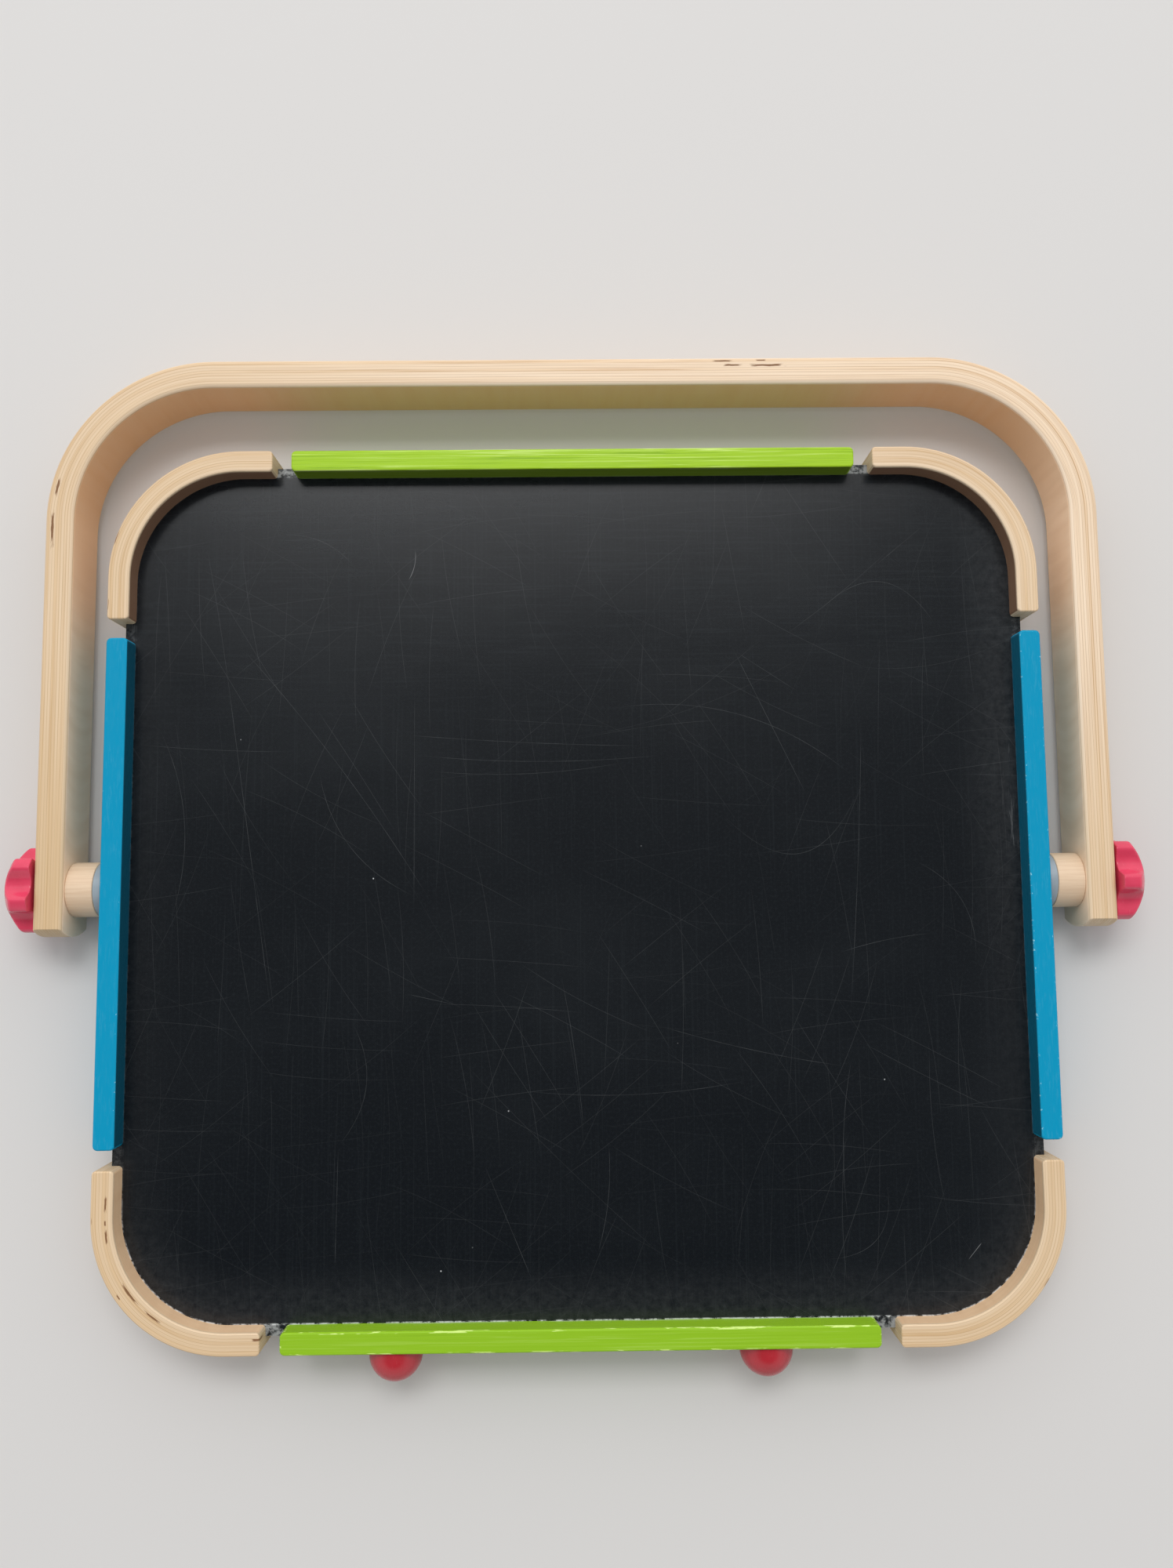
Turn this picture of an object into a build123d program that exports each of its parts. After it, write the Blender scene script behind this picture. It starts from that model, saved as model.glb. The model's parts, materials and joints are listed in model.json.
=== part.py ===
from build123d import *

import os
from math import cos, radians, sin

# Tabletop easel for a child: a framed board that swings in a bent plywood stand.
# X runs across the board, Y up the board towards the stand's crossbar, Z out of the chalkboard.
# The easel lies flat with the stand folded round the top of the board. Lengths are in millimetres.

# Frame round the board: four painted bars and four bent corners with a gap between neighbours
frame_width = 396.0
frame_height = 374.0
frame_corner_radius = 55.0
frame_gap = 8.0
bar_thickness = 9.0
bar_depth = 25.0
side_bar_length = 212.0
cross_bar_length = 242.0
bar_end_round = 2.0
bar_edge_round = 0.8
corner_end_round = 1.6
corner_edge_round = 0.7

# Board: a hardboard core with the chalk face, and a white steel sheet bonded to its back
core_thickness = 5.2
sheet_thickness = 0.4
groove_depth = 4.6
glue_gap = 0.2

# Stand: one plywood band bent into a U
ply_thickness = 12.0
stand_depth = 27.0
stand_reach = 227.0
stand_bend_radius = 70.0
arm_end_reach = 19.8
arm_end_radius = 28.0
ply_edge_round = 1.8

# Pivot: what is clamped between a side bar and a knob, from the board outwards
friction_washer_thickness = 3.4
spacer_length = 11.4
pivot_disc_radius = 11.5
spacer_edge_round = 0.5
washer_edge_round = 0.4
knob_washer_thickness = 1.0
knob_washer_radius = 6.5
knob_washer_bevel = 0.2
turning_gap = 0.1

# Screw: a stud fixed in each knob, and the insert that it screws into
stud_radius = 3.0
stud_clearance = 0.3
stud_end_bevel = 0.6
stud_hold = 9.0
thread_clearance = 0.05
thread_run_out = 0.6
insert_radius = 4.25
insert_length = 8.0
insert_bevel = 0.4
seat_clearance = 0.02
notch_clearance = 0.4

# Knob: six lobes with deep scallops between them and a high dome over all
knob_radius = 18.0
knob_lobes = 6
lobe_face_width = 7.4
scallop_floor_radius = 12.8
knob_side_height = 7.0
knob_dome_height = 7.0
lobe_edge_round = 1.1
knob_rim_round = 0.8
knob_base_round = 0.5
right_knob_turn = 4.0
left_knob_turn = 21.0

# Feet: domes on the outer face of the bottom bar, each held by a spigot
foot_radius = 11.0
foot_wall = 3.3
foot_inset = 45.0
foot_base_round = 0.5
spigot_radius = 3.0
spigot_length = 3.6
spigot_end_gap = 0.3

# Sizes worked out from those above
inner_width = frame_width - 2 * bar_thickness
inner_height = frame_height - 2 * bar_thickness
inner_corner_radius = frame_corner_radius - bar_thickness
board_thickness = core_thickness + sheet_thickness
board_insertion = groove_depth - glue_gap
corner_start_x = cross_bar_length / 2 + frame_gap
corner_start_y = side_bar_length / 2 + frame_gap
bar_face = frame_width / 2
spacer_start = bar_face + friction_washer_thickness + turning_gap
arm_inner = spacer_start + spacer_length
arm_outer = arm_inner + ply_thickness
knob_washer_start = arm_outer + turning_gap
head_start = knob_washer_start + knob_washer_thickness + turning_gap
stud_hole_radius = stud_radius + stud_clearance
stud_start = bar_face - insert_length + thread_run_out
stud_length = head_start + stud_hold - stud_start
foot_reach = frame_height / 2 + foot_wall + foot_radius
foot_place = cross_bar_length / 2 - foot_inset

# The pivot axis is the X axis while the pieces are made. They are then moved so that the knobs touch Z zero
# and the easel is centred on Y zero.
resting_place = Pos(0, (foot_reach - stand_reach) / 2, knob_radius)

# The right side of the easel turned half round the Z axis gives its left side
half_turn = Rot(0, 0, 180)

# A cut runs this far past the faces that it opens
cut_margin = 1.0
# Points nearer than this are on the same line
same_place = 1e-4


def along_x(radius, length, start):
    """A round bar whose axis is the pivot axis, from X start outwards."""
    disc = Plane.YZ.offset(start) * Circle(radius)
    return extrude(disc, length)


def ring_along_x(outer_radius, inner_radius, length, start):
    """A round bar along the pivot axis with a hole right through it."""
    hole = along_x(inner_radius, length + 2 * cut_margin, start - cut_margin)
    return along_x(outer_radius, length, start) - hole


def outer_rims(body):
    """The widest circles on a turned piece."""
    circles = body.edges().filter_by(GeomType.CIRCLE)
    widest = max(circle.radius for circle in circles)
    return [circle for circle in circles if widest - circle.radius < same_place]


def flat_edges(body):
    """The edges round the front and back faces of a piece that was extruded along Z."""
    faces = body.faces().filter_by(Axis.Z).sort_by(Axis.Z)
    return faces[0].edges() + faces[-1].edges()


def rounded_board(grow, thickness, back):
    """A plate with the board's outline, from Z back forwards, grown past the frame's inner face by grow."""
    outline = RectangleRounded(inner_width + 2 * grow, inner_height + 2 * grow, inner_corner_radius + grow)
    return extrude(Pos(0, 0, back) * outline, thickness)


def board_groove():
    """The space that the frame's grooves leave for the edge of the board."""
    return rounded_board(groove_depth, board_thickness, -board_thickness / 2)


def insert_notches():
    """Cuts in the board's side edges that clear the two threaded inserts."""
    start = bar_face - insert_length - notch_clearance
    block = Box(
        bar_face - start,
        2 * (insert_radius + notch_clearance),
        board_thickness + 2 * cut_margin,
        align=(Align.MIN, Align.CENTER, Align.CENTER),
    )
    right = Pos(start, 0, 0) * block
    return right + half_turn * right


def chalkboard_panel():
    """The hardboard core with its chalk face at the front."""
    panel = rounded_board(board_insertion, core_thickness, board_thickness / 2 - core_thickness)
    return panel - insert_notches()


def whiteboard_sheet():
    """The enamelled steel sheet on the back of the core."""
    sheet = rounded_board(board_insertion, sheet_thickness, -board_thickness / 2)
    return sheet - insert_notches()


def straight_bar(length):
    """A frame bar along X, with its outer face on Y zero and its groove towards minus Y."""
    bar = Box(length, bar_thickness, bar_depth, align=(Align.CENTER, Align.MAX, Align.CENTER))
    bar = fillet(bar.edges().filter_by(Axis.Z), bar_end_round)
    bar = fillet(flat_edges(bar), bar_edge_round)
    floor = groove_depth - bar_thickness
    groove = Box(
        length + 2 * cut_margin,
        groove_depth + cut_margin,
        board_thickness,
        align=(Align.CENTER, Align.MAX, Align.CENTER),
    )
    return bar - Pos(0, floor, 0) * groove


def top_bar():
    """The bar along the top of the board."""
    return Pos(0, frame_height / 2, 0) * straight_bar(cross_bar_length)


def bottom_bar():
    """The bar along the bottom of the board, drilled for the spigots of the feet."""
    bar = Pos(0, -frame_height / 2, 0) * Rot(0, 0, 180) * straight_bar(cross_bar_length)
    hole_depth = spigot_length + spigot_end_gap
    hole = extrude(Plane.XZ * Circle(spigot_radius + seat_clearance), -(hole_depth + cut_margin))
    for side in (-1, 1):
        bar -= Pos(side * foot_place, -frame_height / 2 - cut_margin, 0) * hole
    return bar


def right_bar():
    """The bar down the right side, bored from its outer face for the threaded insert."""
    bar = Pos(bar_face, 0, 0) * Rot(0, 0, -90) * straight_bar(side_bar_length)
    return bar - along_x(insert_radius + seat_clearance, insert_length + cut_margin, bar_face - insert_length)


def corner_piece():
    """The top right corner of the frame, bent through a quarter turn with a short leg each way."""
    ring = RectangleRounded(frame_width, frame_height, frame_corner_radius)
    ring -= RectangleRounded(inner_width, inner_height, inner_corner_radius)
    window = Rectangle(frame_width, frame_height, align=(Align.MIN, Align.MIN))
    plan = ring & Pos(corner_start_x, corner_start_y) * window
    ends = [
        point
        for point in plan.vertices()
        if abs(point.X - corner_start_x) < same_place or abs(point.Y - corner_start_y) < same_place
    ]
    plan = fillet(ends, corner_end_round)
    corner = extrude(plan, bar_depth / 2, both=True)
    corner = fillet(flat_edges(corner), corner_edge_round)
    return corner - board_groove()


def foot():
    """A domed foot whose seat is on Y zero, with its spigot up and its dome down."""
    sides = Polyline(
        (0, -foot_wall - foot_radius),
        (0, spigot_length),
        (spigot_radius, spigot_length),
        (spigot_radius, 0),
        (foot_radius, 0),
        (foot_radius, -foot_wall),
    )
    dome = CenterArc((0, -foot_wall), foot_radius, -90, 90)
    solid = revolve(make_face(sides.edges() + dome.edges()), Axis.Y)
    seat_rim = max(outer_rims(solid), key=lambda rim: rim.center().Y)
    return fillet(seat_rim, foot_base_round)


def placed_foot(side):
    """A foot in its place on the bottom bar."""
    return Pos(side * foot_place, -frame_height / 2, 0) * foot()


def bent_band(half_width, reach, bend_radius):
    """The plan of everything inside one face of the stand's band."""
    plan = Rectangle(2 * half_width, reach + arm_end_reach, align=(Align.CENTER, Align.MIN))
    plan = Pos(0, -arm_end_reach) * plan
    return fillet(plan.vertices().group_by(Axis.Y)[-1], bend_radius)


def stand():
    """The bent plywood band, with rounded arm ends and a hole for the stud in each arm."""
    plan = bent_band(arm_outer, stand_reach, stand_bend_radius)
    plan -= bent_band(arm_inner, stand_reach - ply_thickness, stand_bend_radius - ply_thickness)
    band = extrude(plan, stand_depth / 2, both=True)
    band = fillet(flat_edges(band), ply_edge_round)
    # The arm ends are sawn to an arc after the long edges are rounded
    arc_height = arm_end_radius - arm_end_reach
    above_arc = Box(
        2 * arm_outer,
        stand_reach,
        stand_depth,
        align=(Align.CENTER, Align.MIN, Align.CENTER),
    )
    arc = along_x(arm_end_radius, 2 * arm_outer, -arm_outer)
    band = band & (Pos(0, arc_height, 0) * (above_arc + arc))
    return band - along_x(stud_hole_radius, 2 * arm_outer + 2 * cut_margin, -arm_outer - cut_margin)


def friction_washer():
    """The grey washer against the right side bar."""
    ring = ring_along_x(pivot_disc_radius, stud_hole_radius, friction_washer_thickness, bar_face)
    return fillet(outer_rims(ring), washer_edge_round)


def spacer():
    """The wooden spacer against the right arm."""
    ring = ring_along_x(pivot_disc_radius, stud_hole_radius, spacer_length, spacer_start)
    return fillet(outer_rims(ring), spacer_edge_round)


def threaded_insert():
    """The insert in the right side bar, plain where its threads would be."""
    start = bar_face - insert_length
    ring = ring_along_x(insert_radius, stud_radius + thread_clearance, insert_length, start)
    return chamfer(outer_rims(ring), insert_bevel)


def knob_washer():
    """The thin washer between the right arm and the knob."""
    ring = ring_along_x(knob_washer_radius, stud_hole_radius, knob_washer_thickness, knob_washer_start)
    return chamfer(outer_rims(ring), knob_washer_bevel)


def stud():
    """The steel stud in the right knob, plain where its thread would be."""
    rod = along_x(stud_radius, stud_length, stud_start)
    return chamfer(rod.edges().filter_by(GeomType.CIRCLE).sort_by(Axis.X)[0], stud_end_bevel)


def lobed_plan():
    """The knob's outline: a circle with one round scallop between each pair of lobes."""
    pitch = 360 / knob_lobes
    half_face = lobe_face_width / 2 / knob_radius
    edge_angle = radians(pitch / 2) - half_face
    edge_x = knob_radius * cos(edge_angle)
    edge_y = knob_radius * sin(edge_angle)
    # The scallop's circle touches its floor and passes through the edges of the two lobe faces
    centre = (edge_x**2 + edge_y**2 - scallop_floor_radius**2) / (2 * (edge_x - scallop_floor_radius))
    scallop_radius = centre - scallop_floor_radius
    plan = Circle(knob_radius)
    for lobe in range(knob_lobes):
        plan -= Rot(0, 0, (lobe + 0.5) * pitch) * Pos(centre, 0) * Circle(scallop_radius)
    return fillet(plan.vertices(), lobe_edge_round)


def knob(turn):
    """The right knob with one lobe turned away from straight up by an angle in degrees."""
    head_height = knob_side_height + knob_dome_height
    head = extrude(lobed_plan(), head_height)
    # A sphere that passes through the rim of the lobes and the top of the dome
    dome_radius = (knob_radius**2 + knob_dome_height**2) / (2 * knob_dome_height)
    head &= Pos(0, 0, head_height - dome_radius) * Sphere(dome_radius)
    base = head.faces().sort_by(Axis.Z)[0]
    head = fillet(base.edges(), knob_base_round)
    top = head.faces().sort_by(Axis.Z)[-1]
    head = fillet(top.edges(), knob_rim_round)
    bore = Cylinder(stud_radius + seat_clearance, stud_hold, align=(Align.CENTER, Align.CENTER, Align.MIN))
    body = head - bore
    # The knob's own X axis points straight up once its axis lies along the pivot
    outwards = Plane(origin=(head_start, 0, 0), x_dir=(0, 0, 1), z_dir=(1, 0, 0))
    return outwards * Rot(0, 0, turn) * body


def left_and_right(name, right_piece):
    """A piece on the right and the same piece turned round to the left, by node name."""
    return {name + "_right": right_piece, name + "_left": half_turn * right_piece}


def easel():
    """Every piece of the easel by node name."""
    corner = corner_piece()
    side_bar = right_bar()
    pieces = {
        "chalkboard_panel": chalkboard_panel(),
        "whiteboard_sheet": whiteboard_sheet(),
        "top_bar": top_bar(),
        "bottom_bar": bottom_bar(),
        "right_bar": side_bar,
        "left_bar": half_turn * side_bar,
        "corner_top_right": corner,
        "corner_top_left": Rot(0, 180, 0) * corner,
        "corner_bottom_right": Rot(180, 0, 0) * corner,
        "corner_bottom_left": half_turn * corner,
        "foot_right": placed_foot(1),
        "foot_left": placed_foot(-1),
        "stand": stand(),
        "knob_right": knob(right_knob_turn),
        "knob_left": half_turn * knob(-left_knob_turn),
    }
    pieces.update(left_and_right("friction_washer", friction_washer()))
    pieces.update(left_and_right("spacer", spacer()))
    pieces.update(left_and_right("threaded_insert", threaded_insert()))
    pieces.update(left_and_right("knob_washer", knob_washer()))
    pieces.update(left_and_right("stud", stud()))
    return pieces


os.makedirs("parts", exist_ok=True)
for node, piece in easel().items():
    export_step(resting_place * piece, os.path.join("parts", node + ".step"))
    print(node, round(piece.volume, 1), "cubic millimetres")
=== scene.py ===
# %% [markdown]
# A child's tabletop easel. A framed chalkboard swings in a bent plywood stand and is clamped by two red
# star knobs. The solid model gives every piece its size and place. This lesson gives the pieces soft edges,
# grain that follows the bends, paint, chalk and gloss. Lengths are in metres, in the solid model's own frame:
# X across the board, Y up the board, Z out of the chalkboard.

# %% Load the solid model
import json
from math import atan2, cos, hypot, pi, radians, sin, sqrt

import bmesh
import bpy
from mathutils import Euler, Matrix, Vector


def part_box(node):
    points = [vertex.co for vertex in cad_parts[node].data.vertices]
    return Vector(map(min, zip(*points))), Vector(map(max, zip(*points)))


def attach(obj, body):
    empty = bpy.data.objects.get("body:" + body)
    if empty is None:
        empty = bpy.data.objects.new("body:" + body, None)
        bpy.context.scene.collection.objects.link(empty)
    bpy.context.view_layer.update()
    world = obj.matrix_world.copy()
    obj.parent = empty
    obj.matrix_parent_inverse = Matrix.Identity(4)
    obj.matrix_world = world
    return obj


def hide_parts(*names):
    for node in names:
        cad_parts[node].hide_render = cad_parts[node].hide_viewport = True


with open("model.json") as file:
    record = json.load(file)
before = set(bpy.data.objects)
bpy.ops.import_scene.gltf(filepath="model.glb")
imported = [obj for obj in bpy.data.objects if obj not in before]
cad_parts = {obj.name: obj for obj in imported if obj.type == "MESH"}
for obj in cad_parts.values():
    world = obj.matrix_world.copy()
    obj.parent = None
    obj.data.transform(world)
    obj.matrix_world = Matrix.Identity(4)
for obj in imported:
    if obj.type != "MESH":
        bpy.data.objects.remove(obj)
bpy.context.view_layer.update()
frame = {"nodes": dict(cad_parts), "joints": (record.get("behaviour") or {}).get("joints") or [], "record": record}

mm = 0.001
nodes = frame["nodes"]
record = frame["record"]

# %% [markdown]
# Every piece made here stands for one node of the solid model, so it rides on that node's body and hides the
# node, and the code that makes it gives it its finish. The body can be looked up in the record, which saves
# writing it twice.
# Smooth shading alone would smear light over the flat faces next to a rounded edge. A Weighted Normal
# modifier keeps the large faces flat, which a real planed board needs.

# %% A piece that stands for a node
body_of = {node: body for body, members in record["behaviour"]["bodies"].items() for node in members}
weld_distance = 0.02 * mm
sharp_angle = radians(40)


def close_shell(bm):
    """Merge the seams of a shell and turn all its faces outwards."""
    bmesh.ops.remove_doubles(bm, verts=bm.verts, dist=weld_distance)
    bmesh.ops.recalc_face_normals(bm, faces=bm.faces)


def dress(bm, node, material):
    """Turn a finished shell into the piece that is shown in place of a node."""
    mesh = bpy.data.meshes.new(node + "_dressed")
    bm.to_mesh(mesh)
    bm.free()
    mesh.shade_smooth()
    mesh.set_sharp_from_angle(angle=sharp_angle)
    mesh.materials.append(material)
    piece = bpy.data.objects.new(mesh.name, mesh)
    bpy.context.scene.collection.objects.link(piece)
    even_shading = piece.modifiers.new("even_shading", "WEIGHTED_NORMAL")
    even_shading.keep_sharp = True
    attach(piece, body_of[node])
    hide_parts(node)
    print(piece.name, "on", body_of[node], "with", len(mesh.polygons), "faces")
    return piece


# %% [markdown]
# The camera looks almost straight down on the easel, as the photograph does. Its place, tilt and lens were
# worked out from the straight edges of the frame, measured from the pivot between the two knobs. The solve
# gives the turn from the object to the camera, so the camera object takes the inverse, which for a rotation
# is the transpose.

# %% Camera
pivot = Vector(frame["joints"][0]["pos_m"])
camera_place = pivot + Vector((0.29, -3.72, 502.95)) * mm
camera_tilt = radians(-5.316)
camera_pan = radians(0.478)
camera_roll = radians(0.543)
picture_height = 2000
focal_pixels = 1499.4
sensor = 36.0

camera = bpy.data.objects.new("camera", bpy.data.cameras.new("camera"))
bpy.context.scene.collection.objects.link(camera)
to_camera = Euler((camera_tilt, camera_pan, camera_roll), "XYZ").to_matrix()
camera.matrix_world = Matrix.Translation(camera_place) @ to_camera.transposed().to_4x4()
camera.data.sensor_width = sensor
camera.data.lens = focal_pixels / picture_height * sensor
camera.data.clip_start = 0.01
bpy.context.scene.camera = camera
print("camera at", [round(value, 4) for value in camera_place], "lens", round(camera.data.lens, 2), "mm")

# %% [markdown]
# Materials are built from a few small helpers, one for each kind of node that is used again and again. They
# keep the recipe of a material readable as a list of steps. The first ones do sums. A socket is either fed
# from another socket or set to a plain value. It also knows its node tree, so a helper that is given a socket
# can put a new node beside it.

# %% Helpers for sums in materials


def feed(socket, value):
    """Link a socket to another one, or set its plain value."""
    if isinstance(value, bpy.types.NodeSocket):
        socket.id_data.links.new(value, socket)
    else:
        socket.default_value = value


def beside(kind, *values):
    """A new node in the tree of the first socket among some values."""
    tree = next(value.id_data for value in values if isinstance(value, bpy.types.NodeSocket))
    return tree.nodes.new("ShaderNode" + kind)


def maths(operation, *values):
    """One sum on numbers."""
    node = beside("Math", *values)
    node.operation = operation
    for socket, value in zip(node.inputs, values):
        feed(socket, value)
    return node.outputs[0]


def product(*values):
    """Several numbers multiplied, as masks are where all of them have to hold."""
    result = values[0]
    for value in values[1:]:
        result = maths("MULTIPLY", result, value)
    return result


def away_from(value, middle):
    """How far a number is from a middle value, on either side."""
    return maths("ABSOLUTE", maths("SUBTRACT", value, middle))


def vector_maths(operation, first, second=(0.0, 0.0, 0.0)):
    """One sum on vectors."""
    node = beside("VectorMath", first)
    node.operation = operation
    feed(node.inputs[0], first)
    feed(node.inputs[1], second)
    return node.outputs["Value"] if operation == "LENGTH" else node.outputs["Vector"]


def split(vector):
    """The three numbers of a vector."""
    node = beside("SeparateXYZ", vector)
    feed(node.inputs[0], vector)
    return node.outputs


print("helpers for sums ready")

# %% [markdown]
# The next helpers make patterns and colours: a noise, a smooth step between two values, a mix of two colours,
# a bump. A pattern is stretched by scaling its coordinates. What the mesh carries is read as an attribute.

# %% Helpers for patterns and colours


def mapped(kind, vector, start, turn, scale):
    """Coordinates that are moved, turned about Z and scaled in the order of one kind of mapping."""
    node = beside("Mapping", vector)
    node.vector_type = kind
    node.inputs["Location"].default_value = start
    node.inputs["Rotation"].default_value = (0.0, 0.0, turn)
    node.inputs["Scale"].default_value = scale
    feed(node.inputs["Vector"], vector)
    return node.outputs[0]


def stretch(vector, scale, turn=0.0):
    """A pattern's coordinates, scaled and then turned about Z."""
    return mapped("POINT", vector, (0.0, 0.0, 0.0), turn, scale)


def measured(vector, start, turn, unit):
    """Coordinates measured from a start along a turned X axis, in units of their own."""
    return mapped("TEXTURE", vector, start, turn, unit)


def noise(vector, scale=1.0, detail=3.0, roughness=0.55):
    """Soft random values around one half."""
    node = beside("TexNoise", vector)
    node.inputs["Scale"].default_value = scale
    node.inputs["Detail"].default_value = detail
    node.inputs["Roughness"].default_value = roughness
    feed(node.inputs["Vector"], vector)
    return node.outputs[0]


def fade(value, start, end, low=0.0, high=1.0):
    """A value that goes smoothly from low to high while another goes from start to end."""
    node = beside("MapRange", value)
    node.interpolation_type = "SMOOTHSTEP"
    feed(node.inputs["Value"], value)
    node.inputs["From Min"].default_value = start
    node.inputs["From Max"].default_value = end
    node.inputs["To Min"].default_value = low
    node.inputs["To Max"].default_value = high
    return node.outputs[0]


def mix(share, first, second):
    """Two colours mixed by a share."""
    node = beside("Mix", share, first, second)
    node.data_type = "RGBA"
    feed(node.inputs[0], share)
    feed(node.inputs[6], first)
    feed(node.inputs[7], second)
    return node.outputs[2]


def bump(height, strength, distance):
    """Normals that are tilted by a height pattern."""
    node = beside("Bump", height)
    node.inputs["Strength"].default_value = strength
    node.inputs["Distance"].default_value = distance
    feed(node.inputs["Height"], height)
    return node.outputs[0]


def attribute(tree, name, output):
    """A value that the mesh carries with it."""
    node = tree.nodes.new("ShaderNodeAttribute")
    node.attribute_name = name
    return node.outputs[output]


def object_place(tree):
    """The point's own place on the object."""
    return tree.nodes.new("ShaderNodeTexCoord").outputs["Object"]


def start_material(name):
    """A new material, its node tree and its shader."""
    material = bpy.data.materials.new(name)
    material.use_nodes = True
    tree = material.node_tree
    return material, tree, tree.nodes["Principled BSDF"]


def opaque(red, green, blue):
    """A plain colour with full alpha."""
    return (red, green, blue, 1.0)


print("helpers for patterns and colours ready")

# %% [markdown]
# The stand and the frame are strips that go round the board: straight runs joined by quarter bends. Wood
# grain and plywood layers run along such a strip, so a pattern needs to know how far along the strip a point
# is and how deep under its outer face. A mesh can carry these as an attribute, called grain here. One rule
# serves both rings: in a bend, the depth is measured from the bend's centre, and elsewhere from the straight
# face. The lower half of a ring is shifted far along, so that it doesn't repeat the upper half's pattern.

# %% Grain that follows the bends
quarter = pi / 2
lower_half_shift = 2.0


def place_on_ring(point, half_width, half_height, bend_radius):
    """How far a point is along a ring of strips, and how deep it is under the ring's outer face."""
    across = abs(point.x)
    up = abs(point.y - pivot.y)
    past_x = across - (half_width - bend_radius)
    past_y = up - (half_height - bend_radius)
    straight = half_width - bend_radius
    if past_x > 0 and past_y > 0:
        along = straight + bend_radius * atan2(past_x, past_y)
        depth = bend_radius - hypot(past_x, past_y)
    elif past_y > past_x:
        along = across
        depth = half_height - up
    else:
        along = straight + bend_radius * quarter - past_y
        depth = half_width - across
    return along, depth


def mark_grain(bm, ring):
    """Store the place along the strip, the depth and the height on every vertex."""
    layer = bm.verts.layers.float_vector.new("grain")
    for vert in bm.verts:
        along, depth = place_on_ring(vert.co, *ring)
        along = along if vert.co.x >= 0 else -along
        shift = lower_half_shift if vert.co.y < pivot.y - ring[1] / 2 else 0.0
        vert[layer] = (along + shift, depth, vert.co.z - pivot.z)


print("grain is measured from the pivot at", [round(value, 4) for value in pivot])

# %% [markdown]
# A strip is swept: its end face is made once, the loop of edges round it is carried along runs and bends, and
# a copy of the end face closes the far end. Extruding edges makes the runs, and Spin makes the bends. Rounded
# edges come last, as a bevel, so that they run on round the ends as sandpaper would leave them.

# %% Helpers for swept strips
bend_step = radians(3)
rounding_steps = 4


def outline(bm):
    """The edges round an open patch of faces."""
    return [edge for edge in bm.edges if edge.is_boundary]


def run(bm, loop, axis, place):
    """Carry a loop of edges straight to the plane where one axis has the given place."""
    made = bmesh.ops.extrude_edge_only(bm, edges=loop)["geom"]
    ends = {item for item in made if isinstance(item, bmesh.types.BMVert)}
    for vert in ends:
        vert.co[axis] = place
    return [edge for edge in bm.edges if set(edge.verts) <= ends]


def bend(bm, loop, centre, angle):
    """Carry a loop of edges round an upright axis."""
    points = list({vert for edge in loop for vert in edge.verts})
    steps = round(angle / bend_step)
    made = bmesh.ops.spin(bm, geom=points + loop, cent=centre, axis=(0, 0, 1), angle=angle, steps=steps)
    return [item for item in made["geom_last"] if isinstance(item, bmesh.types.BMEdge)]


def far_end(bm, faces, centre, angle):
    """Copy the first end face of a strip, turned about an upright axis, and return the copy's vertices."""
    made = bmesh.ops.duplicate(bm, geom=faces)["geom"]
    points = [item for item in made if isinstance(item, bmesh.types.BMVert)]
    bmesh.ops.rotate(bm, verts=points, cent=centre, matrix=Matrix.Rotation(angle, 3, "Z"))
    return points


def round_off(bm, edges, radius):
    """Bevel edges to a radius and mark the new faces, which are the first to wear."""
    layer = bm.faces.layers.float.get("rounded_edge") or bm.faces.layers.float.new("rounded_edge")
    made = bmesh.ops.bevel(
        bm,
        geom=edges,
        offset=radius,
        offset_type="OFFSET",
        segments=rounding_steps,
        profile=0.5,
        affect="EDGES",
        clamp_overlap=True,
        material=-1,
    )
    for face in made["faces"]:
        face[layer] = 1.0


def sharp_edges(bm):
    """The edges between two faces that meet at a clear angle."""
    return [edge for edge in bm.edges if len(edge.link_faces) == 2 and edge.calc_face_angle() > sharp_angle]


print("bends in steps of", round(bend_step * 180 / pi), "degrees")

# %% [markdown]
# Bent plywood shows its layers on the edge and one plain veneer on its face. On the edge, the depth attribute
# is cut into layers, each with its own tone from a white noise, and a thin darker glue line lies between
# them. Fine fibres run along the strip, so their noise is squeezed hard across it. The edge is browner towards
# the ends of the arms, and painted shade darkens it on the left. The face veneer has a faint ripple across the
# grain, and on the inner face it is warm in the middle and painted pale along the arms, as painted light on
# the walls beside the narrow gaps. A few layers have short dark gaps where a veneer was patched, placed as boxes
# in the same coordinates, and their darkness is painted shade. Wear darkens the outer rim in places, and painted
# shade darkens the inner faces at the top of the board. A satin lacquer goes over all of it.

# %% Plywood finish
ply_layer = 1.2 * mm
veneer_skin = 0.4 * mm
fibre_scale = (16.0, 2400.0, 1500.0)
figure_scale = (7.0, 240.0, 90.0)
ripple_scale = (150.0, 0.0, 22.0)
wander_scale = (4.0, 0.0, 12.0)
wander_depth = 0.35 * mm
honey = opaque(0.555, 0.360, 0.205)
straw = opaque(0.79, 0.60, 0.415)
cream = opaque(0.88, 0.74, 0.59)
amber = opaque(0.53, 0.355, 0.165)
glue_brown = opaque(0.36, 0.205, 0.09)
# Dark brown for dirt knocked into the rim and for painted shade in the veneer gaps.
dirt_and_void_shade = opaque(0.22, 0.11, 0.05)
# Painted shade on the inner faces of the upper corners.
painted_shade_brown = opaque(0.065, 0.016, 0.011)
fray_scale = (300.0, 2000.0, 300.0)
knock_scale = (60.0, 400.0, 400.0)
face_light = opaque(0.80, 0.56, 0.35)
face_dark = opaque(0.68, 0.44, 0.26)
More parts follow.
